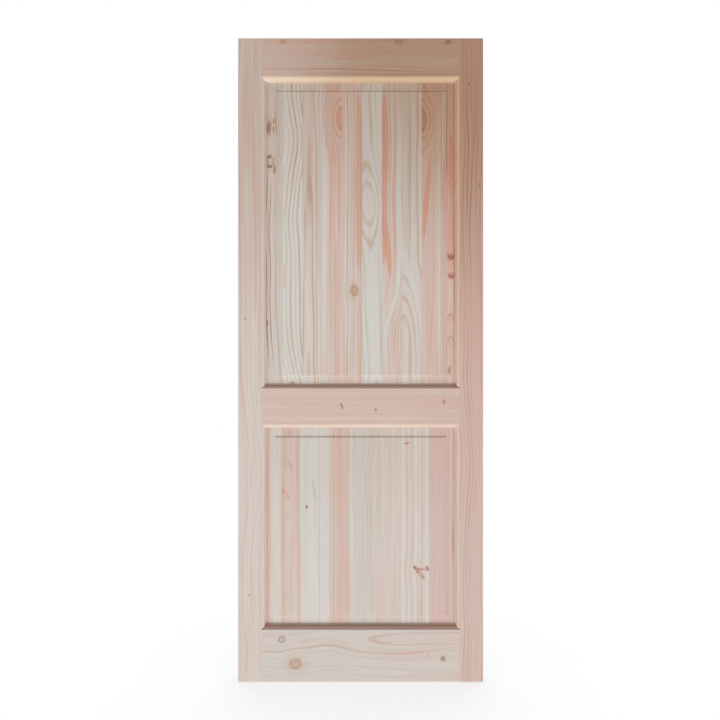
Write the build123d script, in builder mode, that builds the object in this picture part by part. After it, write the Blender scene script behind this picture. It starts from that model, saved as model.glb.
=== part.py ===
from build123d import *
import os

# A two-panel softwood door leaf. Two stiles and three rails carry an ovolo moulding on the edges that
# face a panel. The rails are coped over the stiles' moulding and tenoned into the stiles, and the raised
# panels, glued up from upright staves, stand loose in grooves that run behind the moulding.
#
# Millimetres. The origin is at the foot of the hinge edge, half way through the thickness. +X runs
# across the leaf, +Z runs up it, and the front looks along -Y.

# Leaf
leaf_width = 800.0
leaf_height = 2100.0
leaf_thickness = 40.0
arris_radius = 1.0  # eased corner along the two outer edges

# Stiles and rails, each measured over its moulded edges
stile_width = 89.0
top_rail_width = 137.0
middle_rail_width = 144.0
bottom_rail_width = 183.0
middle_rail_height = 899.0  # from the foot of the leaf to the middle of the rail

# Ovolo moulding, from the face of the leaf down to the panel
quirk_depth = 2.0
ovolo_radius = 10.5
fillet_width = 2.5  # flat strip between the ovolo and the sight line
lip_height = 1.5  # edge of that strip, down to the groove

# Grooves, mortises and tenons
groove_depth = 14.0
tenon_length = 55.0  # past the rail's shoulder
tenon_haunch = 40.0  # from the end of the stile to the tenon
mortise_clearance = 1.5  # room for glue past the end of a tenon

# Raised panels, alike on both faces
tongue_clearance = 0.2  # on each face of the tongue, in its groove
side_gap = 1.5  # room to swell, at each side of a panel
top_gap = 2.0  # room to swell, over a panel
tongue_width = 15.0
bevel_width = 24.5
bevel_rise = 1.5
shoulder_width = 3.0
shoulder_rise = 2.5

# Staves of each panel: the two outer ones are ripped to suit, and those between share the rest
upper_stave_count = 10
upper_first_stave = 67.5
upper_last_stave = 57.5
lower_stave_count = 9
lower_first_stave = 62.0
lower_last_stave = 32.5

# Sizes that follow from those above
half_thickness = leaf_thickness / 2
moulding_width = ovolo_radius + fillet_width
moulding_depth = quirk_depth + ovolo_radius + lip_height
groove_width = leaf_thickness - 2 * moulding_depth
stile_face = stile_width - moulding_width  # also the line of the rails' shoulders
groove_floor = stile_width - groove_depth
tenon_end = stile_face - tenon_length
tongue_thickness = groove_width - 2 * tongue_clearance
panel_left = groove_floor + side_gap
panel_width = leaf_width - 2 * panel_left

# Sight lines, the edges of the two panel openings
bottom_rail_top = bottom_rail_width
middle_rail_bottom = middle_rail_height - middle_rail_width / 2
middle_rail_top = middle_rail_height + middle_rail_width / 2
top_rail_bottom = leaf_height - top_rail_width

# Each tenon's lowest and highest point, clear of the panel grooves and of the ends of the stiles
tenons = [
    (tenon_haunch, bottom_rail_top - groove_depth),
    (middle_rail_bottom + groove_depth, middle_rail_top - groove_depth),
    (top_rail_bottom + groove_depth, leaf_height - tenon_haunch),
]

middle_of_leaf = Plane.YZ.offset(leaf_width / 2)

os.makedirs("parts", exist_ok=True)


def save(part, name):
    """Label a finished piece and write it out."""
    part.label = name
    export_step(part, f"parts/{name}.step")


def moulded_edge(sight, facing):
    """Draw the front half of a moulded and grooved edge, from the face of the leaf to the groove's floor.

    The sight line is at x = sight, and facing is 1 where the panel lies past it or -1 where it lies before.
    """
    face_end = sight - facing * moulding_width
    ovolo_end = sight - facing * fillet_width
    quirk_bottom = quirk_depth - half_thickness
    fillet_level = quirk_bottom + ovolo_radius
    groove_wall = -groove_width / 2
    Line((face_end, -half_thickness), (face_end, quirk_bottom))
    CenterArc((face_end, fillet_level), ovolo_radius, -90, facing * 90)
    Polyline(
        (ovolo_end, fillet_level),
        (sight, fillet_level),
        (sight, groove_wall),
        (sight - facing * groove_depth, groove_wall),
    )


def plain_edge(x):
    """Draw a square edge at x, through the thickness."""
    Line((x, -half_thickness), (x, half_thickness))


def groove_bottom(x):
    """Draw the floor of a groove at x."""
    Line((x, -groove_width / 2), (x, groove_width / 2))


def make_rail(low, high, panel_below, panel_above, tenon):
    """Make a rail between heights low and high, grooved and moulded wherever a panel meets it."""
    face_low = low + moulding_width if panel_below else low
    face_high = high - moulding_width if panel_above else high
    core_low = low + groove_depth if panel_below else low
    core_high = high - groove_depth if panel_above else high
    shoulder_plane = Plane(origin=(stile_face, 0, 0), x_dir=(0, 0, 1), z_dir=(1, 0, 0))

    with BuildPart() as rail:
        with BuildSketch(shoulder_plane):
            with BuildLine():
                Line((face_low, -half_thickness), (face_high, -half_thickness))
                if panel_below:
                    moulded_edge(low, -1)
                if panel_above:
                    moulded_edge(high, 1)
                mirror(about=Plane.XZ)
                for x, has_panel in ((core_low, panel_below), (core_high, panel_above)):
                    if has_panel:
                        groove_bottom(x)
                    else:
                        plain_edge(x)
            make_face()
        extrude(amount=leaf_width / 2 - stile_face)

        # the stile's moulding copes the shoulder
        add(left_stile.part, mode=Mode.SUBTRACT)

        # the core reaches the floor of the stile's groove, and the tenon goes on past it
        for end, bottom, top in ((groove_floor, core_low, core_high), (tenon_end, *tenon)):
            with Locations((end, 0, bottom)):
                Box(
                    leaf_width / 2 - end,
                    groove_width,
                    top - bottom,
                    align=(Align.MIN, Align.CENTER, Align.MIN),
                )
        mirror(about=middle_of_leaf)
    return rail


def make_panel(low, high):
    """Make a raised panel blank whose tongue reaches from height low to high."""
    height = high - low
    centre = (leaf_width / 2, (low + high) / 2)
    bevel_top = tongue_thickness / 2 + bevel_rise
    field_top = bevel_top + shoulder_rise
    shoulder_foot = tongue_width + bevel_width
    field_edge = shoulder_foot + shoulder_width

    with BuildPart() as panel:
        with Locations((centre[0], 0, centre[1])):
            Box(panel_width, tongue_thickness, height)
        for face in (1, -1):
            slopes = (
                ((tongue_width, tongue_thickness / 2), (shoulder_foot, bevel_top)),
                ((shoulder_foot, bevel_top), (field_edge, field_top)),
            )
            for slope in slopes:
                for inset, level in slope:
                    with BuildSketch(Plane.XZ.offset(face * level)):
                        with Locations(centre):
                            Rectangle(panel_width - 2 * inset, height - 2 * inset)
                loft(ruled=True)
    return panel


def make_staves(panel, name, count, first_width, last_width):
    """Cut a panel blank into its staves, from the hinge side, and write each one."""
    inner_width = (panel_width - first_width - last_width) / (count - 2)
    widths = [first_width] + [inner_width] * (count - 2) + [last_width]
    box = panel.part.bounding_box()
    left = panel_left
    for number, width in enumerate(widths, start=1):
        with BuildPart() as stave:
            add(panel.part)
            with Locations((left, 0, box.center().Z)):
                Box(
                    width,
                    box.size.Y,
                    box.size.Z,
                    align=(Align.MIN, Align.CENTER, Align.CENTER),
                    mode=Mode.INTERSECT,
                )
        save(stave.part, f"{name}_stave_{number:02d}")
        left += width


# Left stile, with a mortise for each rail, and right stile, its mirror image
with BuildPart() as left_stile:
    with BuildSketch() as stile_section:
        with BuildLine():
            Line((0, -half_thickness), (stile_face, -half_thickness))
            moulded_edge(stile_width, 1)
            mirror(about=Plane.XZ)
            plain_edge(0)
            groove_bottom(groove_floor)
        make_face()
        fillet(stile_section.vertices().group_by(Axis.X)[0], radius=arris_radius)
    extrude(amount=leaf_height)
    for mortise_low, mortise_high in tenons:
        with Locations((tenon_end - mortise_clearance, 0, mortise_low)):
            Box(
                groove_floor - tenon_end + mortise_clearance,
                groove_width,
                mortise_high - mortise_low,
                align=(Align.MIN, Align.CENTER, Align.MIN),
                mode=Mode.SUBTRACT,
            )
save(left_stile.part, "left_stile")

with BuildPart() as right_stile:
    mirror(left_stile.part, about=middle_of_leaf)
save(right_stile.part, "right_stile")

# Rails, from the floor up
bottom_rail = make_rail(0, bottom_rail_top, False, True, tenons[0])
save(bottom_rail.part, "bottom_rail")
middle_rail = make_rail(middle_rail_bottom, middle_rail_top, True, True, tenons[1])
save(middle_rail.part, "middle_rail")
top_rail = make_rail(top_rail_bottom, leaf_height, True, False, tenons[2])
save(top_rail.part, "top_rail")

# Panels, each standing on the floor of the groove below it
lower_panel = make_panel(bottom_rail_top - groove_depth, middle_rail_bottom + groove_depth - top_gap)
make_staves(lower_panel, "lower_panel", lower_stave_count, lower_first_stave, lower_last_stave)
upper_panel = make_panel(middle_rail_top - groove_depth, top_rail_bottom + groove_depth - top_gap)
make_staves(upper_panel, "upper_panel", upper_stave_count, upper_first_stave, upper_last_stave)
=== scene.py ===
# %% [markdown]
# # A raw pine door leaf, dressed in Blender
#
# The leaf arrives as a finished frame: two stiles, three rails and two raised panels of glued staves,
# each a solid of its own, at its real size. Nothing is moved here. What this lesson adds is the timber:
# every board gets growth rings, heartwood, knots and fibres of its own, worked out by shader nodes.

# %% Load the leaf
import math
from dataclasses import dataclass

import bmesh
import bpy
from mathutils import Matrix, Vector


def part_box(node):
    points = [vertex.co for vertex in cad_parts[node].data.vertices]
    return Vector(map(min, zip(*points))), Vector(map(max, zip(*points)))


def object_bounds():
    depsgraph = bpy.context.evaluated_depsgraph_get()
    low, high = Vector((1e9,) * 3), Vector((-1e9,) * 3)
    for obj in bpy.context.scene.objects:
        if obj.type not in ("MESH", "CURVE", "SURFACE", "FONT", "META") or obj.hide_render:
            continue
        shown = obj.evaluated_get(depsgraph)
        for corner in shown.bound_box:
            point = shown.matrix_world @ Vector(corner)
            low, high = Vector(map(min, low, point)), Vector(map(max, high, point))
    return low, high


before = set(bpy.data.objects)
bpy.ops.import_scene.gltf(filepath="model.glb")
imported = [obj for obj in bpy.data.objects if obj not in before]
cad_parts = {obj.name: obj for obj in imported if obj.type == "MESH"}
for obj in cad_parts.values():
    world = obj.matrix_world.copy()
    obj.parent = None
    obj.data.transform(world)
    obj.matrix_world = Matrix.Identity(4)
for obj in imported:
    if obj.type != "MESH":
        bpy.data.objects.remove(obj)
cad_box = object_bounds()


def rounded(box):
    """The two corners of a box, to the millimetre, for printing."""
    return [tuple(round(value, 3) for value in corner) for corner in box]


print("pieces:", len(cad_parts), "box:", rounded(cad_box))

# %% [markdown]
# ## Sums written as sums
#
# A shader is a web of nodes, and growth rings need dozens of small sums. They could be wired one by one,
# but then nobody sees the idea for the wires. So a small class wraps an output socket: adding or
# multiplying two wires adds the Math node for it. One method, `node`, makes every other kind.

# %% A wire that does arithmetic
class Wire:
    """An output socket of a shader tree, or the bare tree to start from."""

    def __init__(self, tree, socket=None):
        self.tree = tree
        self.socket = socket

    def node(self, kind, sockets=None, output=0, **settings):
        """Add a node: its settings first, then its sockets. Return a wire from each output asked for."""
        made = self.tree.nodes.new("ShaderNode" + kind)
        for name, value in settings.items():
            setattr(made, name, value)
        for name, value in (sockets or {}).items():
            if isinstance(value, Wire):
                self.tree.links.new(value.socket, made.inputs[name])
            else:
                made.inputs[name].default_value = value
        if output is None:
            return None
        if isinstance(output, tuple):
            return [Wire(self.tree, made.outputs[name]) for name in output]
        return Wire(self.tree, made.outputs[output])

    def math(self, operation, *others):
        """A Math node whose first input is this wire."""
        return self.node("Math", dict(enumerate((self, *others))), operation=operation)

    def __add__(self, other):
        return self.math("ADD", other)

    def __sub__(self, other):
        return self.math("SUBTRACT", other)

    def __rsub__(self, other):
        return self.math("MULTIPLY_ADD", -1.0, other)

    def __mul__(self, other):
        return self.math("MULTIPLY", other)

    def __truediv__(self, other):
        return self.math("DIVIDE", other)

    def bell(self):
        """A hump that is 1 where this wire is 0 and fades away on both sides."""
        return (self * self * -1.0).math("EXPONENT")

    def step(self, start, end):
        """A soft step from 0 at start to 1 at end; start may be the larger."""
        sockets = {"Value": self, "From Min": start, "From Max": end}
        return self.node("MapRange", sockets, interpolation_type="SMOOTHSTEP")

    def mixed(self, first, second):
        """A colour that goes from first to second as this wire goes from 0 to 1."""
        return self.node("Mix", {0: self, 6: first, 7: second}, output=2, data_type="RGBA")

    def tinted(self, tint):
        """This colour times another."""
        sockets = {0: 1.0, 6: self, 7: tint}
        return self.node("Mix", sockets, output=2, data_type="RGBA", blend_type="MULTIPLY")


print("a wire knows", [name for name in vars(Wire) if not name.startswith("_")])

# %% [markdown]
# ## Colours
#
# Raw pine is several colours at once: near-white sapwood, pink to salmon heartwood, a light brown summer
# line in every year, olive in the greyer boards, mouldings from chalk to honey that also carry a painted
# highlight, and knots from amber to plum. Umber serves for stains and for painted shade as well.
# They are written as screen colours, 0 to 255, because that is how a colour picker gives them, and one
# helper turns them into the linear values that a shader takes.

# %% The palette
def colour(red, green, blue):
    """A screen colour as a linear one."""
    def linear(value):
        """Undo the curve of an ordinary screen."""
        share = value / 255
        return share / 12.92 if share <= 0.04045 else ((share + 0.055) / 1.055) ** 2.4

    return (linear(red), linear(green), linear(blue), 1.0)


palette = {
    "white": (1.0, 1.0, 1.0, 1.0),
    "sap": colour(209, 208, 204),
    "grey": colour(204, 200, 195),
    "cream": colour(211, 203, 194),
    "rose": colour(209, 183, 173),
    "mauve": colour(207, 181, 175),
    "salmon": colour(211, 161, 143),
    "summer": colour(186, 158, 134),
    "summer_rose": colour(192, 148, 130),
    "olive": colour(178, 162, 140),
    "chalk": colour(230, 218, 212),
    "pale": colour(231, 215, 198),
    "honey": colour(222, 184, 146),
    "straw": colour(202, 176, 143),
    "amber": colour(196, 146, 108),
    "umber": colour(150, 104, 80),
    "rust": colour(162, 98, 80),
    "plum": colour(104, 72, 66),
    "knot": colour(184, 150, 128),
}
print("colours:", ", ".join(palette))

# %% [markdown]
# ## A board as a sawyer sees it
#
# A sawyer describes a board by where the heart of the tree lay, how wide the years grew and what grew in
# it. Boards are described that way here too. A ring is then a tube round the heart, and where a face cuts
# the tubes it shows stripes, arches or ovals by itself, on every side of the board and round every
# moulding. Stripes drawn on the front alone would come apart at the edges.

# %% Boards, bends, streaks and knots, in millimetres
@dataclass
class Bend:
    """A place where the whole grain swings aside."""

    along: float
    half_along: float
    shift: float


@dataclass
class Streak:
    """A long lens of redder heartwood, of paler wood below zero, or of a stain if one is named."""

    across: float
    along: float
    half_across: float
    half_along: float
    strength: float = 1.0
    lean: float = 0.0  # how far across its far tip lies from its middle
    soft: float = 0.6  # share of it that fades towards its edge
    stain: str = ""
    blunt: bool = False  # with broad ends in place of pointed ones


@dataclass
class Knot:
    """The stump of a branch, an oval on the face, with a core and a rim."""

    across: float
    along: float
    half_across: float
    half_along: float
    core: str = "knot"
    rim: str = "umber"
    strength: float = 0.75
    push: float = 0.8  # how far the grain parts round it
    halo: float = 0.25  # resin in the wood round it
    slope: float = 0.0  # how steeply the oval slants
    cup: float = 0.0  # 1 keeps only its lower end, -1 only its upper end
    rough: float = 1.4  # how ragged its rim is


def fleck(across, along, half_across, half_along, stain="plum", strength=0.7, slope=0.0):
    """A small mark that leaves the grain alone."""
    return Knot(
        across, along, half_across, half_along, stain, stain, strength, push=0.0, halo=0.0, slope=slope,
    )


@dataclass
class Board:
    """How a board was sawn. The heart is given across the board and behind the middle of the leaf."""

    heart: tuple
    level: float = 1000.0  # the place along the board that the next six are measured from
    lean: float = 0.0  # how fast the heart moves across
    tilt: float = 0.0  # how fast it moves deeper
    swell: float = 0.0  # how much deeper it lies far from its level
    swell_length: float = 150.0
    rise: float = 0.0  # how much deeper it lies past its level than before it
    rise_length: float = 200.0
    ring: float = 6.0  # width of a year
    line: float = 0.6  # boldness of the summer lines
    late: float = 0.35  # share of a year that is summer wood
    shuffle: float = 0.0  # shifts which numbers the years draw
    wander: float = 14.0  # how far the grain strays
    wave: float = 300.0  # over what length it strays
    wood: str = "sap"
    summer: str = "summer"
    pink: float = 0.2  # how much of the wood is heartwood
    blush: str = "rose"  # colour of that heartwood
    jitter: float = 0.3  # how ragged a ring is, in years
    cloud: float = 0.8  # how patchy the pink is
    moulding: tuple = ("pale", 0.7)  # paler colour on the moulding, newly cut wood with a painted highlight, and how much of it shows
    # the moulding's colour where the painted shade on the board is full
    dimmed_moulding: str = "honey"
    painted_shade: float = 0.0  # painted shade on the ledge
    tan: tuple = (0.0, 0.0)  # painted shade, darker and browner, at the start and at the end of the span
    dimming_span: tuple = (1400.0, 2000.0)
    bends: tuple = ()
    streaks: tuple = ()
    knots: tuple = ()


print("an ordinary board:", Board(heart=(0.0, 40.0)))

# %% [markdown]
# ## Where the grain runs
#
# Noise on plain coordinates gives clouds. Pine has fibres, so the noise is drawn out along the grain: a
# millimetre or so across and many times that along. The coordinates also stray a little, swing at each
# bend and part round each knot, so that everything drawn on them later follows the grain.

# %% Drawn-out noise and strayed grain
drift_width = 70.0
depth_share = 0.25  # the grain strays less in depth than sideways
push_reach = 2.0  # how far out a knot parts the grain, in its own radii


def drawn_noise(across, deep, along, patch, seed, detail=2.0, output="Fac"):
    """Noise in patches of one size across the grain and another along it."""
    fine, long = patch
    point = across.node("CombineXYZ", {"X": across / fine, "Y": deep / fine, "Z": along / long + seed})
    return point.node("TexNoise", {"Vector": point, "Scale": 1.0, "Detail": detail}, output=output)


def knot_distance(knot, across, along):
    """Distance from the middle of a knot, 1 at its rim, and how far up its length a point is."""
    off = across - knot.across
    reach = along - knot.along
    if knot.slope:
        reach = reach - off * knot.slope
    side = off / knot.half_across
    end = reach / knot.half_along
    return (side * side + end * end).math("SQRT"), end


def strayed_grain(board, across, deep, along, seed):
    """Coordinates that follow the grain, and how far a year strays from its due width."""
    drift = drawn_noise(across, deep, along, (drift_width, board.wave), seed, detail=1.0, output="Color")
    channels = ("Red", "Green", "Blue")
    stray_side, stray_deep, stray_year = drift.node("SeparateColor", {0: drift}, output=channels)
    side = across + (stray_side - 0.5) * board.wander
    depth = deep + (stray_deep - 0.5) * (board.wander * depth_share)
    for bend in board.bends:
        side = side - ((along - bend.along) / bend.half_along).bell() * bend.shift
    for knot in board.knots:
        if knot.push:
            distance, _ = knot_distance(knot, across, along)
            near = (distance / push_reach).bell()
            side = side - (across - knot.across) * near * knot.push
    return side, depth, stray_year - 0.5


print("grain helpers:", drawn_noise.__name__, knot_distance.__name__, strayed_grain.__name__)

# %% [markdown]
# ## Growth rings
#
# Each year a pine adds pale spring wood and then a thin, hard, darker line of summer wood with a sharp
# outer edge. The distance from the heart, counted in years, gives both: its whole part is the year and the
# rest is the season. A swell, where the heart comes near the face and goes away again, gives nested ovals.
# A tilted heart, or one that rises at one place, gives arches. Every year also draws two numbers of its
# own, for how bold its line is and how red, so no two lines look alike.

# %% Years and seasons
stray_years = 0.4  # how far the drift moves a ring, in years
darkening_end = 0.4  # the line is darkest once this share of the summer wood is left
sharp_edge = 0.25  # the last share of it, over which the line ends
faintest_line = 0.25
draw_step = 7.3


def growth_rings(board, side, depth, along, stray, stripe, seed):
    """How deep a point lies in a summer line, 0 to 1, and two numbers that each year draws."""
    reach = along - board.level
    heart_deep = reach * board.tilt + board.heart[1]
    if board.swell:
        heart_deep = heart_deep + (1.0 - (reach / board.swell_length).bell()) * board.swell
    if board.rise:
        heart_deep = heart_deep + reach.step(-board.rise_length, board.rise_length) * board.rise
    off_side = side - reach * board.lean - board.heart[0]
    off_deep = depth - heart_deep
    radius = (off_side * off_side + off_deep * off_deep).math("SQRT")
    years = radius / board.ring + stray * stray_years + (stripe - 0.5) * board.jitter
    year = years.math("FLOOR")
    season = years - year
    lot = year + seed * draw_step + board.shuffle
    draw = lot.node("TexWhiteNoise", {"W": lot}, output="Color", noise_dimensions="1D")
    luck, tone = draw.node("SeparateColor", {0: draw}, output=("Red", "Green"))
    darkening = season.step(1.0 - board.late, 1.0 - board.late * darkening_end)
    late = darkening * season.step(1.0, 1.0 - board.late * sharp_edge)
    bold = luck * luck * (1.0 - faintest_line) + faintest_line
    return late * bold * board.line, luck, tone


print("ring helper:", growth_rings.__name__)

# %% [markdown]
# ## Heartwood and streaks
#
# The reds of this door lie in long lenses that end in a point, because the saw cut through cones of
# heartwood. A lens is an oval stretched a hundredfold, leaning a little. It is drawn on the strayed
# coordinates, so its edges wave along with the rings.

# %% Streaks as masks
stripe_pink = 0.8
luck_pink = 0.25


def streak_mask(streak, side, along):
    """1 inside a streak and 0 outside, times its strength."""
    end = (along - streak.along) / streak.half_along
    off = side - streak.across
    if streak.lean:
        off = off - end * streak.lean
    across_share = off / streak.half_across
    end_share = end * end
    if streak.blunt:
        end_share = end_share * end_share
    oval = across_share * across_share + end_share
    return oval.step(1.0, 1.0 - streak.soft) * streak.strength


def heartwood(board, side, along, mottle, stripe, luck):
    """The wood's colour between its summer lines, and how rosy it is."""
    pink = (mottle - 0.5) * board.cloud + (stripe - 0.5) * stripe_pink + (luck - 0.5) * luck_pink
    pink = pink + board.pink
    for streak in board.streaks:
        if not streak.stain:
            pink = pink + streak_mask(streak, side, along)
    rosy = pink.step(0.0, 1.0)
    wood = rosy.mixed(palette[board.wood], palette[board.blush])
    return pink.step(1.0, 2.0).mixed(wood, palette["salmon"]), rosy


print("streak helpers:", streak_mask.__name__, heartwood.__name__)

# %% [markdown]
# ## Knots
#
# A knot is a branch cut across. It has rings of its own, often a dark rim of bark, and a stain of resin in
# the wood round it. Each is painted from its distance field, made ragged by a fine noise. A knot of no
# strength is one that stayed buried: nothing of it shows, but the grain parts round it.

# %% Painting the knots
bark_patch = (5.0, 6.0)
halo_start = 2.6  # distances, 1 at the rim of the knot
halo_end = 0.9
knot_edge = (1.2, 0.8)
rim_edge = (0.55, 0.92)
cup_edge = (0.7, -0.5)
ring_pitch = 11.0
ring_contrast = 0.22


def painted_knots(board, wood, across, deep, along, seed):
    """The wood with its knots on it."""
    if not board.knots:
        return wood
    ragged = drawn_noise(across, deep, along, bark_patch, seed + 11.0) - 0.5
    for knot in board.knots:
        if not knot.strength:
            continue
        distance, end = knot_distance(knot, across, along)
        distance = distance + ragged * knot.rough
        if knot.halo:
            resin = distance.step(halo_start, halo_end) * knot.halo
            wood = resin.mixed(wood, palette["amber"])
        rings = (distance * ring_pitch).math("SINE") * ring_contrast + ring_contrast
        face = rings.mixed(palette[knot.core], palette[knot.rim])
        face = distance.step(*rim_edge).mixed(face, palette[knot.rim])
        mask = distance.step(*knot_edge) * knot.strength
        if knot.cup:
            mask = mask * (end * knot.cup).step(*cup_edge)
        wood = mask.mixed(wood, face)
    return wood


print("knot helper:", painted_knots.__name__)

# %% [markdown]
# ## Painted shade and paler mouldings
#
# Painted shade makes one end of most boards darker and browner: the top of the uprights and the right end
# of the rails. The mouldings are paler than the faces, partly as newly cut wood and partly as a painted
# highlight.
# More painted shade darkens the ledges of the rails, a line along the upper shoulder of each raised field
# and the foot of each panel. All of it could be painted on by hand, once for each face. Here it follows
# from where a point lies on the leaf, so that front and back agree.

# %% Painted shade and paler mouldings, in millimetres
mm = 1000.0
# painted shade: the tint that makes one end of a board darker and browner
dimming_tint = (0.66, 0.52, 0.40, 1.0)
leaf_width = cad_box[1].x * mm
quirk_depth = 2.0
moulding_top = cad_box[1].y * mm - quirk_depth
old_face = moulding_top + 1.2
fresh_face = moulding_top + 0.4
fillet_level = 7.6  # just above the flat strip at the foot of the moulding
ledge_start = fillet_level + 1.5
groove_depth = 14.0
shoulder_inset = 41.0  # from the edge of a panel to the middle of the slope up to its field
half_shoulder = 1.5
# painted shade along the upper shoulder of each field and at the foot of each panel
shoulder_spread = 3.2
shoulder_shade = 0.3
foot_height = 26.0
foot_shade = 0.1
edge_blend = 1.0
field_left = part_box("upper_panel_stave_01")[0].x * mm + shoulder_inset + half_shoulder


def painted_dimming(board, along):
    """How far painted shade darkens and browns a board, 0 to 1."""
    start, end = board.tan
    return along.step(*board.dimming_span) * (end - start) + start


def moulded(node, board, wood, dimmed, across, deep):
    """A stile or rail, paler where it was moulded, as newly cut wood with a painted highlight, and with
    painted shade on its ledge.
    """
    recut_and_highlit_wood, share = board.moulding
    off_middle = deep.math("ABSOLUTE")
    cut = off_middle.step(old_face, fresh_face)
    recut_and_highlit = dimmed.mixed(palette[recut_and_highlit_wood], palette[board.dimmed_moulding])
    wood = (cut * share).mixed(wood, recut_and_highlit)
    # painted shade on the ledge, where the moulding faces up
    if board.painted_shade:
        low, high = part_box(node)
        middle = (low.z + high.z) / 2 * mm
        ledge = cut * off_middle.step(fillet_level, ledge_start)
        ledge = ledge * across.step(middle - edge_blend, middle + edge_blend)
        wood = (ledge * board.painted_shade).mixed(wood, palette["umber"])
    return wood


def shaded_panel(node, wood, across, along):
    """A stave, with painted shade along the upper shoulder of the field and at the foot of the panel."""
    low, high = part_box(node)
    from_left = across - field_left
    from_right = leaf_width - field_left - across
    field = from_left.step(-edge_blend, edge_blend) * from_right.step(-edge_blend, edge_blend)
    off_shoulder = along - high.z * mm + shoulder_inset
    shoulder_line = (off_shoulder / shoulder_spread).bell() * field
    sight_line = low.z * mm + groove_depth
    foot = along.step(sight_line + foot_height, sight_line)
    painted_shade = shoulder_line * shoulder_shade + foot * foot_shade
    return painted_shade.mixed(wood, palette["umber"])


print("raised fields start", round(field_left, 1), "mm in from the edge")

# %% [markdown]
# ## The pine material
#
# Now the layers go together: heartwood and rings, stains, knots, then painted shade towards one end, paler
# mouldings with a painted highlight, and painted shade on the ledges, shoulders and panel feet. Last comes
# the planed surface, with resin ducts, end grain that drinks the light, and the hairline where two boards
# meet.
# Fibres and summer lines stand a little proud, because the planer presses the soft spring wood down, so
# they feed the bump and the roughness as well.

# %% One board, one material
mottle_patch = (14.0, 380.0)
stripe_patch = (4.5, 700.0)
fibre_patch = (1.3, 60.0)
duct_patch = (0.8, 9.0)
moulding_width = 13.0
rail_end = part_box("left_stile")[1].x * mm - moulding_width
seam_width = (0.8, 0.1)
fibre_height = 0.0004


def seam_distance(node, runs, across, along):
    """How far a point is from the joint with the next board."""
    if runs == "Z":
        low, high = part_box(node)
        return (across - low.x * mm).math("MINIMUM", high.x * mm - across)
    return (along - rail_end).math("MINIMUM", leaf_width - rail_end - along)


def pine(node, board, runs, seed):
    """Make the material of one board, whose grain runs along X or Z, and put it on its node."""
    material = bpy.data.materials.new("pine_" + node)
    material.use_nodes = True
    material.node_tree.nodes.clear()
    graph = Wire(material.node_tree)

    place, normal = graph.node("TexCoord", output=("Object", "Normal"))
    place = place.node("VectorMath", {0: place, "Scale": mm}, operation="SCALE")
    x, deep, z = place.node("SeparateXYZ", {0: place}, output=("X", "Y", "Z"))
    normal_x, normal_z = normal.node("SeparateXYZ", {0: normal}, output=("X", "Z"))
    across, along, facing = (x, z, normal_z) if runs == "Z" else (z, x, normal_x)

    side, depth, stray = strayed_grain(board, across, deep, along, seed)
    mottle = drawn_noise(across, deep, along, mottle_patch, seed + 3.0)
    stripe = drawn_noise(side, depth, along, stripe_patch, seed + 4.0)
    fibre = drawn_noise(across, deep, along, fibre_patch, seed + 5.0)
    duct = drawn_noise(across, deep, along, duct_patch, seed + 8.0, detail=1.0)
    line, luck, tone = growth_rings(board, side, depth, along, stray, stripe, seed)
    line = line * (mottle.step(0.3, 0.6) * 0.6 + 0.5)

    wood, rosy = heartwood(board, side, along, mottle, stripe, luck)
    line_colour = (tone * 0.35 + rosy * 0.3).mixed(palette[board.summer], palette["summer_rose"])
    wood = line.mixed(wood, line_colour)
    for streak in board.streaks:
        if streak.stain:
            wood = streak_mask(streak, side, along).mixed(wood, palette[streak.stain])
    wood = painted_knots(board, wood, across, deep, along, seed)

    # painted shade towards one end of the board, then paler mouldings with a painted highlight and painted
    # shade on the ledges, the shoulders and the panel feet
    dimmed = painted_dimming(board, along)
    wood = wood.tinted(dimmed.mixed(palette["white"], dimming_tint))
    if node.endswith(("stile", "rail")):
        wood = moulded(node, board, wood, dimmed, across, deep)
    else:
        wood = shaded_panel(node, wood, across, along)

    end_grain = facing.math("ABSOLUTE").step(0.7, 0.9)
    seam = seam_distance(node, runs, across, along).step(*seam_width)
    shade = fibre * 0.14 + stripe * 0.10 + 0.88 - duct.step(0.66, 0.76) * 0.08
    shade = shade - end_grain * 0.3 - seam * 0.1
    wood = wood.tinted(graph.node("CombineColor", {"Red": shade, "Green": shade, "Blue": shade}))

    relief = {"Height": fibre * 0.5 + line * 0.5, "Strength": 0.35, "Distance": fibre_height}
    sockets = {
        "Base Color": wood,
        "Roughness": fibre * 0.14 + 0.6 - line * 0.1,
        "Normal": graph.node("Bump", relief, output="Normal"),
        "Specular IOR Level": 0.3,
    }
    shader = graph.node("BsdfPrincipled", sockets)
    graph.node("OutputMaterial", {"Surface": shader}, output=None)

    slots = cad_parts[node].data.materials
    slots.clear()
    slots.append(material)


print("rails meet the stiles", round(rail_end), "mm in from each edge")
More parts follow.
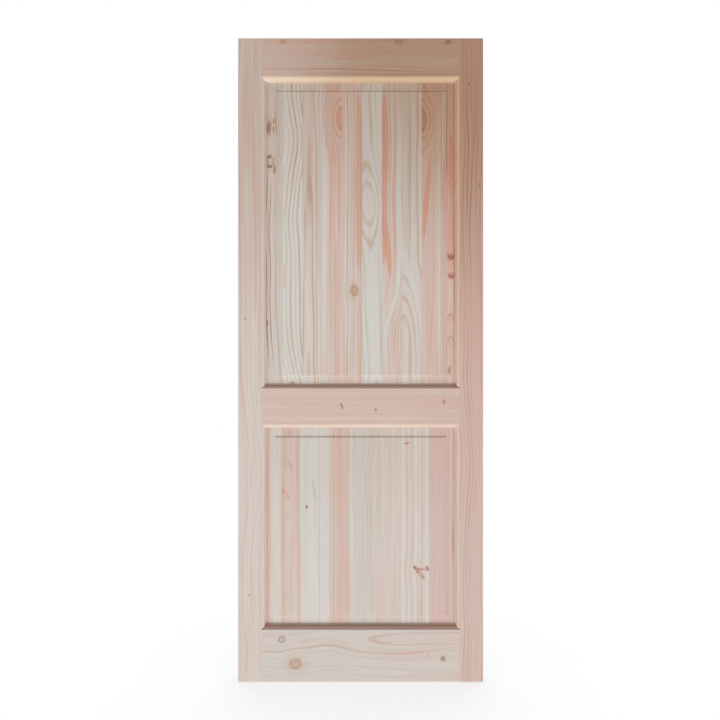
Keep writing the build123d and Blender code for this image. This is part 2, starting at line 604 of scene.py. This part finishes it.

# %% [markdown]
# ## Stiles
#
# The two uprights come from different logs. The left one is pale and slow to show its figure, one tall
# arch at lock height. The right one was sawn on the quarter: close, straight lines, with painted shade
# that makes it browner and darker to the top.

# %% Left and right stile
boards = {}
boards["left_stile"] = Board(
    heart=(-60.0, 30.0), ring=13.0, line=0.28, late=0.6, wander=26.0, wave=420.0, jitter=0.5,
    pink=0.41, tan=(0.0, 0.38), dimming_span=(800.0, 1900.0), moulding=("chalk", 0.75),
    bends=(Bend(690.0, 190.0, 30.0), Bend(90.0, 120.0, 20.0), Bend(1800.0, 260.0, -10.0)),
    streaks=(
        Streak(57.0, 1500.0, 9.0, 360.0, 0.45),
        Streak(34.0, 1850.0, 6.0, 220.0, 0.3),
        Streak(60.0, 2040.0, 1.6, 70.0, 0.3, lean=3.0, stain="umber"),
    ),
    knots=(
        fleck(23.0, 1185.0, 2.6, 4.0, "umber", 0.6),
        fleck(35.0, 283.0, 2.6, 4.0, "umber", 0.6),
    ),
)
boards["right_stile"] = Board(
    heart=(1010.0, 0.0), ring=11.5, line=0.75, late=0.5, wander=24.0, wave=260.0, jitter=0.7, cloud=0.3,
    pink=0.72, blush="mauve", moulding=("pale", 0.66), tan=(0.08, 1.0), dimming_span=(850.0, 2000.0),
    bends=(Bend(700.0, 160.0, 14.0),),
    streaks=(
        Streak(756.0, 1350.0, 400.0, 900.0, 0.45, soft=0.9),
        Streak(791.0, 1500.0, 1.4, 560.0, 0.3, stain="umber"),
        Streak(736.0, 1560.0, 3.0, 360.0, 0.3, lean=6.0, soft=0.9, stain="umber"),
        Streak(749.0, 1720.0, 3.0, 330.0, 0.4, lean=-6.0, soft=0.9, stain="umber"),
        Streak(763.0, 1620.0, 3.2, 380.0, 0.4, lean=7.0, soft=0.9, stain="umber"),
        Streak(777.0, 1700.0, 3.0, 320.0, 0.35, lean=-5.0, soft=0.9, stain="umber"),
    ),
    knots=(
        Knot(753.0, 1949.0, 3.0, 5.0, "umber", "umber", 0.55, push=0.6, halo=0.2),
        fleck(788.0, 1623.0, 2.5, 7.0, "umber", 0.6),
    ),
)
print("stiles:", len(boards))

# %% [markdown]
# ## Rails
#
# The rails lie across, so their grain runs along X. The top rail is straight and brown, mostly from
# painted shade that grows towards its right end, the middle one fine and pink, and the bottom one was sawn
# flat
# through a branchy length: loops, three knots that show, and one that stayed buried.

# %% Top, middle and bottom rail
boards["top_rail"] = Board(
    heart=(1760.0, 0.0), level=400.0, ring=12.0, line=0.28, late=0.6, wander=22.0, wave=420.0,
    pink=0.75, jitter=0.8, tan=(0.34, 0.95), dimming_span=(90.0, 450.0), moulding=("pale", 0.75),
    dimmed_moulding="straw",
    streaks=(
        Streak(1998.0, 330.0, 2.0, 300.0, 0.35, lean=-3.0, stain="umber"),
        Streak(1984.0, 480.0, 2.2, 330.0, 0.35, lean=2.0, stain="umber"),
        Streak(2018.0, 240.0, 1.6, 230.0, 0.25, stain="umber"),
        Streak(2008.0, 560.0, 1.8, 180.0, 0.25, stain="umber"),
    ),
    knots=(
        Knot(2089.0, 146.0, 6.0, 9.0, "amber", "rust", 0.5, push=0.4, halo=0.2),
        Knot(2088.0, 526.0, 8.0, 14.0, "knot", "umber", 0.5, push=0.5, halo=0.1, rough=0.8),
        Knot(2088.0, 686.0, 8.0, 10.0, "umber", "plum", 0.5, push=0.5, halo=0.1, rough=0.8),
    ),
)
boards["middle_rail"] = Board(
    heart=(620.0, 0.0), level=400.0, ring=6.4, line=0.32, late=0.6, wander=12.0, wave=500.0, pink=0.8,
    jitter=0.9, moulding=("pale", 0.35), painted_shade=0.62, tan=(0.0, 0.12), dimming_span=(480.0, 760.0),
    knots=(
        fleck(901.0, 338.0, 9.0, 4.0, "plum", 0.5, -0.3),
        fleck(894.0, 342.0, 3.0, 4.0, "umber", 0.5),
        fleck(887.0, 449.0, 8.0, 3.4, "plum", 0.4, -0.2),
        fleck(914.0, 672.0, 9.0, 5.0, "umber", 0.5),
    ),
)
boards["bottom_rail"] = Board(
    heart=(138.0, 16.0), level=460.0, rise=-24.0, rise_length=190.0, ring=14.0, line=0.6, late=0.4,
    shuffle=8.0, wander=18.0, wave=300.0, wood="grey", summer="olive", pink=0.22, blush="mauve",
    moulding=("rose", 0.7), painted_shade=0.58,
    bends=(Bend(295.0, 70.0, 18.0), Bend(130.0, 50.0, -6.0)),
    streaks=(
        Streak(101.0, 265.0, 5.0, 150.0, 0.4, lean=2.0, soft=0.9, stain="olive"),
        Streak(90.0, 720.0, 200.0, 330.0, 0.16, soft=0.9),
    ),
    knots=(
        Knot(138.0, 143.0, 11.5, 11.5, "rose", "plum", 0.6, push=0.5, halo=0.05, rough=0.4),
        Knot(58.0, 187.0, 18.0, 21.0, "knot", "umber", 0.5, push=0.7, halo=0.2, rough=0.8),
        Knot(76.0, 669.0, 8.0, 9.0, "umber", "plum", 0.6, push=0.7, halo=0.1, rough=0.8),
        Knot(66.0, 660.0, 22.0, 45.0, strength=0.0, push=0.8),
        fleck(91.0, 620.0, 2.5, 3.5, "umber", 0.6),
    ),
)
print("stiles and rails:", len(boards))

# %% [markdown]
# ## Upper panel
#
# Ten staves ripped from fast-grown planks: wide years, bold lines, pink ones beside grey ones. The maker
# turned and shuffled them, so every stave has a figure of its own, and each is written out from the hinge
# side: knots in the first, arches in the third and eighth, half ovals in the fourth and ninth, whole ones
# in the sixth.

# %% Upper staves one to three
# the span of the painted shade on the left staves
left_dimming_span = (1200.0, 2000.0)
upper = [
    Board(
        heart=(-40.0, 0.0), ring=8.0, line=0.62, late=0.5, wander=16.0, wood="grey", pink=0.26,
        tan=(0.03, 0.4), dimming_span=left_dimming_span,
        bends=(Bend(940.0, 160.0, 14.0), Bend(1770.0, 90.0, 9.0), Bend(1480.0, 110.0, -7.0)),
        streaks=(
            Streak(93.0, 1340.0, 2.4, 350.0, 0.8, soft=0.8, stain="umber", blunt=True),
            Streak(106.5, 1330.0, 2.2, 340.0, 0.7, soft=0.8, stain="umber", blunt=True),
            Streak(124.0, 1180.0, 3.0, 280.0, 0.45, soft=0.9, stain="amber"),
            Streak(117.0, 1832.0, 5.0, 48.0, 0.6, stain="amber"),
            # painted shade: a dark line along the left shoulder of the field
            Streak(118.5, 1800.0, 1.8, 130.0, 0.2, stain="umber"),
        ),
        knots=(
            Knot(97.5, 1816.0, 7.0, 21.0, "umber", "plum", 0.65, push=0.5, halo=0.2, rough=2.6),
            fleck(114.5, 1837.0, 2.6, 12.0, "plum", 0.6),
            fleck(114.0, 1811.0, 2.8, 11.0, "umber", 0.7),
            Knot(102.5, 1703.0, 10.5, 18.0, "cream", "plum", 0.5, push=0.4, halo=0.2, rough=1.0),
            fleck(97.0, 1721.0, 8.0, 5.0, "plum", 0.5, 0.3),
            fleck(100.0, 1687.0, 9.0, 6.0, "plum", 0.5, -0.2),
            fleck(117.0, 1678.0, 5.0, 15.0, "rust", 0.6),
            Knot(131.0, 1712.0, 9.0, 15.0, "cream", "amber", 0.35, push=0.3, halo=0.0),
            fleck(93.5, 1172.0, 2.8, 9.0, "plum", 0.55),
            fleck(139.0, 1893.0, 4.0, 8.0, "amber", 0.25),
            fleck(139.0, 1853.0, 4.0, 7.0, "amber", 0.25),
        ),
    ),
    Board(
        heart=(-49.0, 0.0), ring=14.0, line=0.85, late=0.6, wander=14.0, pink=0.12, tan=(0.0, 0.38),
        bends=(Bend(1770.0, 100.0, 20.0), Bend(1510.0, 70.0, -8.0), Bend(940.0, 120.0, 32.0)),
        streaks=(Streak(152.0, 1328.0, 2.6, 52.0, 0.55, stain="amber"),),
        knots=(Knot(175.0, 975.0, 7.0, 6.0, "umber", "umber", 0.5, push=0.5, halo=0.2),),
    ),
    Board(
        heart=(229.0, 17.0), level=1667.0, tilt=0.016, ring=9.5, line=0.8, late=0.6, shuffle=11.0,
        wander=18.0, wave=240.0, pink=0.3, tan=(0.0, 0.5), dimming_span=left_dimming_span,
        streaks=(Streak(229.0, 1030.0, 7.0, 60.0, 0.25, stain="amber"),),
    ),
]
print("upper staves so far:", len(upper))

# %% Upper staves four to six
upper += [
    Board(
        heart=(341.0, 10.0), level=1845.0, swell=30.0, swell_length=74.0, ring=9.5, line=0.7, late=0.45,
        shuffle=16.0, wander=10.0, pink=0.62, tan=(0.0, 0.5),
        streaks=(
            Streak(312.0, 1860.0, 38.0, 200.0, 0.5, soft=0.7),
            Streak(341.0, 1843.0, 20.0, 52.0, 0.7, soft=0.4),
            Streak(330.0, 1590.0, 9.0, 190.0, 0.9, soft=0.8),
            Streak(325.0, 1190.0, 13.0, 300.0, 0.45, soft=0.9, blunt=True),
            Streak(306.0, 1570.0, 10.0, 220.0, 0.65, soft=0.9),
            Streak(280.0, 1460.0, 6.0, 480.0, -0.4),
        ),
    ),
    Board(
        heart=(250.0, 0.0), ring=11.0, line=0.95, late=0.5, wander=14.0, pink=0.6, tan=(0.0, 0.47),
        dimming_span=left_dimming_span,
        streaks=(
            Streak(395.0, 1640.0, 14.0, 320.0, 0.95, soft=0.7, blunt=True),
            Streak(352.0, 1500.0, 8.0, 500.0, -0.4),
            Streak(398.0, 1120.0, 8.0, 190.0, 0.5, soft=0.8, blunt=True),
        ),
        knots=(Knot(379.0, 1279.0, 14.0, 18.0, "amber", "umber", 0.5, push=0.85, halo=0.2, rough=0.5),),
    ),
    Board(
        heart=(425.0, 18.0), level=1565.0, lean=-0.05, swell=22.0, swell_length=105.0, ring=9.5,
        line=0.64, late=0.62, shuffle=1.0, wander=10.0, summer="olive", pink=0.06, tan=(0.03, 0.56),
        dimming_span=left_dimming_span,
    ),
]
print("upper staves so far:", len(upper))

# %% Upper staves seven and eight
# the span of the painted shade on the right staves
right_dimming_span = (1250.0, 1950.0)
upper += [
    Board(
        heart=(420.0, 0.0), ring=10.0, line=0.85, late=0.5, wander=14.0, pink=0.52, tan=(0.0, 0.7),
        dimming_span=right_dimming_span,
        bends=(Bend(1150.0, 110.0, -34.0), Bend(1000.0, 130.0, -32.0), Bend(1600.0, 90.0, -4.0)),
        streaks=(
            Streak(478.0, 1650.0, 14.0, 300.0, 1.2, soft=0.5, blunt=True),
            Streak(490.0, 1420.0, 11.0, 110.0, 1.2, lean=-11.0, soft=0.5),
            Streak(512.0, 1640.0, 5.0, 360.0, 0.85, soft=0.8, blunt=True),
            Streak(528.0, 1450.0, 8.0, 480.0, -0.5),
        ),
    ),
    Board(
        heart=(535.0, 10.0), level=1240.0, rise=57.0, rise_length=200.0, ring=13.5, line=0.62, late=0.5,
        shuffle=17.0, wander=14.0, wave=220.0, summer="olive", pink=0.27, tan=(0.06, 0.84),
        dimming_span=right_dimming_span,
        streaks=(
            Streak(561.0, 1660.0, 5.0, 330.0, 0.5, soft=0.9, stain="summer"),
            Streak(562.0, 1050.0, 7.0, 90.0, 0.5),
        ),
    ),
]
print("upper staves so far:", len(upper))

# %% Upper staves nine and ten
upper += [
    Board(
        heart=(598.0, 10.0), level=1840.0, swell=30.0, swell_length=74.0, ring=9.5, line=0.9, late=0.45,
        shuffle=11.5, wander=10.0, pink=0.9, tan=(0.04, 1.0), dimming_span=right_dimming_span,
        streaks=(
            Streak(599.0, 1838.0, 20.0, 49.0, 0.35, soft=0.35, stain="rust"),
            Streak(617.0, 1582.0, 12.0, 170.0, 1.0, lean=15.0, soft=0.7),
            Streak(632.0, 1130.0, 5.0, 155.0, 0.7, lean=6.0, soft=0.8),
            Streak(655.0, 1480.0, 9.0, 520.0, -0.5),
        ),
    ),
    Board(
        heart=(560.0, 0.0), ring=9.0, line=0.85, late=0.5, wander=12.0, pink=0.88, tan=(0.05, 1.0),
        dimming_span=right_dimming_span,
        streaks=(
            Streak(672.0, 1850.0, 11.0, 170.0, -0.6),
            Streak(699.0, 1690.0, 13.0, 125.0, 1.3, soft=0.5),
            Streak(699.0, 1470.0, 14.0, 200.0, 0.8, soft=0.7),
            Streak(699.0, 1130.0, 11.0, 140.0, 0.45),
            # painted shade: a dark line along the right shoulder of the field
            Streak(682.0, 1780.0, 2.4, 170.0, 0.45, stain="umber"),
            # painted shade: a dark rust line next to the moulding, where the panel meets the frame
            Streak(708.0, 1340.0, 2.4, 330.0, 0.4, stain="rust"),
        ),
        knots=(
            Knot(698.0, 1397.0, 13.0, 17.0, "rust", "rust", 0.9, push=0.3, halo=0.0, cup=1.0, rough=0.6),
            Knot(699.0, 1333.0, 13.0, 15.0, "rust", "rust", 0.85, push=0.3, halo=0.0, cup=1.0, rough=0.6),
            Knot(698.0, 1634.0, 11.0, 8.0, "rose", "amber", 0.35, push=0.3, halo=0.0),
            Knot(698.0, 1600.0, 11.0, 7.0, "rose", "amber", 0.35, push=0.3, halo=0.0),
            Knot(697.0, 1182.0, 12.0, 22.0, "rose", "rust", 0.5, push=0.3, halo=0.0, cup=-1.0, rough=0.5),
            Knot(697.0, 1105.0, 12.0, 26.0, "rose", "rust", 0.4, push=0.3, halo=0.0, cup=-1.0, rough=0.5),
            fleck(692.0, 1018.0, 5.0, 13.0, "rust", 0.6),
        ),
    ),
]
print("upper staves:", len(upper))

# %% [markdown]
# ## Lower panel
#
# Nine wider staves sawn on the quarter: their years run straight from top to bottom, in bands of grey,
# cream, pink and orange. One stave has a spike knot, and a few flecks of resin show beside it.

# %% Lower staves one to five
heart_distance = 240.0
band_middle = 475.0
band_reach = 520.0


def quarter_sawn(middle, pink, ring=6.6, line=0.5, **others):
    """A board whose heart lies far to the left of it."""
    return Board(
        heart=(middle - heart_distance, 0.0), ring=ring, line=line, late=0.6, wander=8.0, wave=520.0,
        jitter=1.1, pink=pink, tan=(0.0, 0.12), dimming_span=(450.0, 760.0), **others,
    )


def band(across, half_across, strength, soft=0.6):
    """A streak that runs the whole height of the lower panel."""
    return Streak(across, band_middle, half_across, band_reach, strength, soft=soft, blunt=True)


lower = [
    quarter_sawn(108.0, 0.12, streaks=(band(95.0, 9.0, 0.9), band(111.0, 9.0, 0.3))),
    quarter_sawn(
        178.0, 0.66,
        streaks=(
            band(211.0, 12.0, -0.8),
            Streak(157.0, 707.0, 2.6, 24.0, 0.25, lean=-6.0, stain="rust"),
            Streak(166.0, 712.0, 2.6, 26.0, 0.25, lean=-7.0, stain="rust"),
            Streak(174.0, 700.0, 2.6, 22.0, 0.25, lean=-5.0, stain="rust"),
            Streak(158.0, 811.0, 1.8, 14.0, 0.5, lean=6.0, stain="rust"),
            Streak(168.0, 810.0, 1.8, 15.0, 0.5, lean=7.0, stain="rust"),
            Streak(178.0, 811.0, 1.8, 13.0, 0.4, lean=6.0, stain="rust"),
        ),
        knots=(
            Knot(157.0, 609.0, 13.0, 12.0, "salmon", "salmon", 0.4, push=0.3, halo=0.0),
            fleck(146.0, 621.0, 2.6, 8.0, "rust", 0.55),
            fleck(163.0, 598.0, 6.0, 3.0, "rust", 0.4, -0.5),
            fleck(160.5, 543.0, 2.2, 3.0, "rust", 0.6),
        ),
    ),
    quarter_sawn(
        257.0, 0.06,
        streaks=(Streak(246.5, 622.0, 1.5, 44.0, 0.45, lean=-8.5, stain="umber"),),
        knots=(Knot(222.5, 568.0, 3.4, 7.0, "plum", "umber", 0.7, push=0.8, halo=0.2),),
    ),
    quarter_sawn(336.0, 0.66, streaks=(band(370.0, 7.0, -0.7),)),
    quarter_sawn(
        415.0, 0.1, ring=7.4, line=0.7, wood="grey",
        bends=(Bend(770.0, 60.0, 6.0), Bend(660.0, 80.0, -8.0)),
    ),
]
print("lower staves so far:", len(lower))

# %% Lower staves six to nine
lower += [
    quarter_sawn(494.0, 0.45),
    quarter_sawn(
        573.0, 0.45,
        streaks=(band(540.0, 9.0, -0.5, 0.9), band(581.0, 7.0, -0.5, 0.9)),
        knots=(
            fleck(551.0, 777.0, 9.0, 3.2, "rust", 0.65, 0.25),
            Knot(599.0, 354.0, 26.0, 22.0, "rose", "rose", 0.3, push=0.3, halo=0.0),
            Knot(592.0, 353.0, 18.0, 8.0, "rose", "rust", 0.8, push=0.0, halo=0.1, slope=-1.15, rough=0.6),
            fleck(600.0, 363.0, 18.0, 3.0, "rust", 0.6, -0.05),
            fleck(578.0, 368.0, 5.0, 6.0, "umber", 0.7),
            fleck(587.0, 355.0, 3.5, 5.0, "plum", 0.6),
        ),
    ),
    quarter_sawn(
        652.0, 0.9, blush="mauve",
        streaks=(band(618.0, 8.0, -0.8),),
        knots=(fleck(619.0, 365.0, 6.0, 8.0, "rust", 0.75, -0.5),),
    ),
    quarter_sawn(
        707.0, 0.9, blush="mauve",
        # the band next to the moulding deepens the pink there, partly as painted shade
        streaks=(Streak(704.0, 450.0, 6.0, 80.0, 0.3, soft=0.9, stain="rust"), band(707.0, 6.0, 0.35)),
    ),
]
print("lower staves:", len(lower))

# %% [markdown]
# ## Dressing the boards
#
# One material for all would repeat the same fibres in every stave, and an eye finds that at once. So each
# board has a material of its own, with its own seed. The rails lie across and all the rest stands upright.

# %% Dress every board
seed_step = 1.7
for number, board in enumerate(upper, start=1):
    boards[f"upper_panel_stave_{number:02d}"] = board
for number, board in enumerate(lower, start=1):
    boards[f"lower_panel_stave_{number:02d}"] = board
for number, (node, board) in enumerate(boards.items()):
    pine(node, board, "X" if node.endswith("rail") else "Z", seed=number * seed_step)
print("boards dressed:", len(boards), "of", len(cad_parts))

# %% [markdown]
# ## Floor
#
# The leaf hangs a few millimetres clear of a plain pale floor, as it does in its frame. The floor melts
# into the white backdrop, so it glows to the eye, but it keeps the leaf's soft shadow: wherever the leaf
# hides the sky, matt paint shows instead of the glow. A plane lit by lamps alone would need far more light
# than the leaf should have. It throws no shadow of its own, because the key light shines up past it.

# %% A pale floor
floor_gap = 0.006
floor_reach = 20.0
shadow_reach = 0.5
shadow_depth = 0.45
leaf_middle = (cad_box[0].x + cad_box[1].x) / 2
floor_mesh = bpy.data.meshes.new("floor")
shape = bmesh.new()
bmesh.ops.create_grid(shape, x_segments=1, y_segments=1, size=floor_reach)
bmesh.ops.translate(shape, verts=shape.verts, vec=(leaf_middle, 0.0, -floor_gap))
shape.to_mesh(floor_mesh)
shape.free()
floor = bpy.data.objects.new("floor", floor_mesh)
bpy.context.scene.collection.objects.link(floor)
floor.visible_shadow = False


def seen_directly(graph):
    """1 for the rays that show the backdrop: the camera's own, and those in a gloss or through glass."""
    rays = graph.node("LightPath", output=("Is Camera Ray", "Is Glossy Ray", "Is Transmission Ray"))
    camera_ray, glossy_ray, glass_ray = rays
    return (camera_ray + glossy_ray + glass_ray).math("MINIMUM", 1.0)


floor_material = bpy.data.materials.new("pale_floor")
floor_material.use_nodes = True
floor_material.node_tree.nodes.clear()
graph = Wire(floor_material.node_tree)
open_sky = graph.node("AmbientOcclusion", {"Distance": shadow_reach}, output="AO", samples=16)
share = seen_directly(graph) * (open_sky * shadow_depth + (1.0 - shadow_depth))
matt = graph.node("BsdfDiffuse", {"Color": (0.86, 0.85, 0.84, 1.0)})
glow = graph.node("Emission", {"Color": palette["white"], "Strength": 1.0})
surface = graph.node("MixShader", {0: share, 1: matt, 2: glow})
graph.node("OutputMaterial", {"Surface": surface}, output=None)
floor_mesh.materials.append(floor_material)
print("floor:", floor_gap * 1000, "mm below the leaf")

# %% [markdown]
# ## Backdrop
#
# Everything round the leaf is white, but white walls on all sides would flood the mouldings and flatten
# them. So the world shows white only to rays that see it directly, and lights the leaf with a dim warm
# glow, like the far walls of a workshop.

# %% White to look at, dim to light with
world = bpy.data.worlds.new("studio")
bpy.context.scene.world = world
world.use_nodes = True
world.node_tree.nodes.clear()
graph = Wire(world.node_tree)
ambient = graph.node("Background", {"Color": (1.0, 0.86, 0.76, 1.0), "Strength": 0.09})
backdrop = graph.node("Background", {"Color": palette["white"], "Strength": 1.0})
surface = graph.node("MixShader", {0: seen_directly(graph), 1: ambient, 2: backdrop})
graph.node("OutputWorld", {"Surface": surface}, output=None)
print("world:", world.name)

# %% [markdown]
# ## Lamps
#
# The undersides of the mouldings are the brightest places on this door and the ledges are the darkest, so
# the key light comes from low in front. A broad sun does that evenly from top to bottom, where a lamp at
# the foot would burn out the bottom rail. A second one does the same for the back. Tall strips at both
# sides, two in front and two behind, pick out the upright mouldings, and a weak lamp overhead keeps the
# top edge from going black.

# %% Low suns, strips and an overhead lamp
sun_power = 2.32
sun_spread = math.radians(40)
strip_size = (0.5, 2.6)
strip_height = 1.1
strip_power = 20.0
strip_places = {
    "left_strip": (-1.7, -1.3),
    "right_strip": (2.5, -1.3),
    "back_left_strip": (2.5, 1.3),
    "back_right_strip": (-1.7, 1.3),
}
overhead_height = 4.6
overhead_size = (2.4, 2.4)
overhead_power = 10.0
chest = (leaf_middle, 0.0, 1.0)


def put_light(name, kind, towards, power, tint):
    """A light that shines along a direction."""
    data = bpy.data.lights.new(name, kind)
    data.energy = power
    data.color = tint
    made = bpy.data.objects.new(name, data)
    bpy.context.scene.collection.objects.link(made)
    made.rotation_mode = "QUATERNION"
    made.rotation_quaternion = Vector(towards).to_track_quat("-Z", "Y")
    return made


def broad_sun(name, towards):
    """A soft white sun."""
    sun = put_light(name, "SUN", towards, sun_power, (1.0, 1.0, 1.0))
    sun.data.angle = sun_spread


def soft_lamp(name, place, target, size, power, tint=(1.0, 0.99, 0.96)):
    """A rectangular lamp that looks at a target and isn't seen itself."""
    lamp = put_light(name, "AREA", Vector(target) - Vector(place), power, tint)
    lamp.location = place
    lamp.data.shape = "RECTANGLE"
    lamp.data.size, lamp.data.size_y = size
    lamp.visible_camera = False
    lamp.visible_glossy = False


broad_sun("low_key", (0.06, 0.72, 0.69))
broad_sun("low_back", (-0.06, -0.72, 0.69))
for name, (x, y) in strip_places.items():
    soft_lamp(name, (x, y, strip_height), chest, strip_size, strip_power)
above = (leaf_middle, 0.0, overhead_height)
soft_lamp("overhead", above, chest, overhead_size, overhead_power, (1.0, 0.85, 0.72))

# %% [markdown]
# ## Camera
#
# The door was taken square on, with the lens a little below its middle, which shows in how much of each
# moulding can be seen. The lens follows from how many pixels of the picture a metre takes up, and a small
# shift brings the leaf to the middle of the picture without tilting the camera.

# %% Square on
image_size = 720
pixels_per_metre = 306.4
distance = 1.5
pixels_below_middle = 22
step_left = 0.002
camera_data = bpy.data.cameras.new("camera")
camera_data.sensor_width = 36.0
camera_data.lens = camera_data.sensor_width * pixels_per_metre * distance / image_size
camera_data.shift_y = pixels_below_middle / image_size
camera = bpy.data.objects.new("camera", camera_data)
bpy.context.scene.collection.objects.link(camera)
eye_level = (cad_box[0].z + cad_box[1].z) / 2 - pixels_below_middle / pixels_per_metre
camera.location = (leaf_middle - step_left, cad_box[0].y - distance, eye_level)
camera.rotation_euler = (math.radians(90), 0.0, 0.0)
bpy.context.scene.camera = camera
print("lens:", round(camera_data.lens, 2), "mm, eye level:", round(eye_level, 3), "m")

# %% [markdown]
# ## Finish
#
# Colours are shown as they are, with no film look.

# %% Finish
bpy.context.scene.view_settings.view_transform = "Standard"
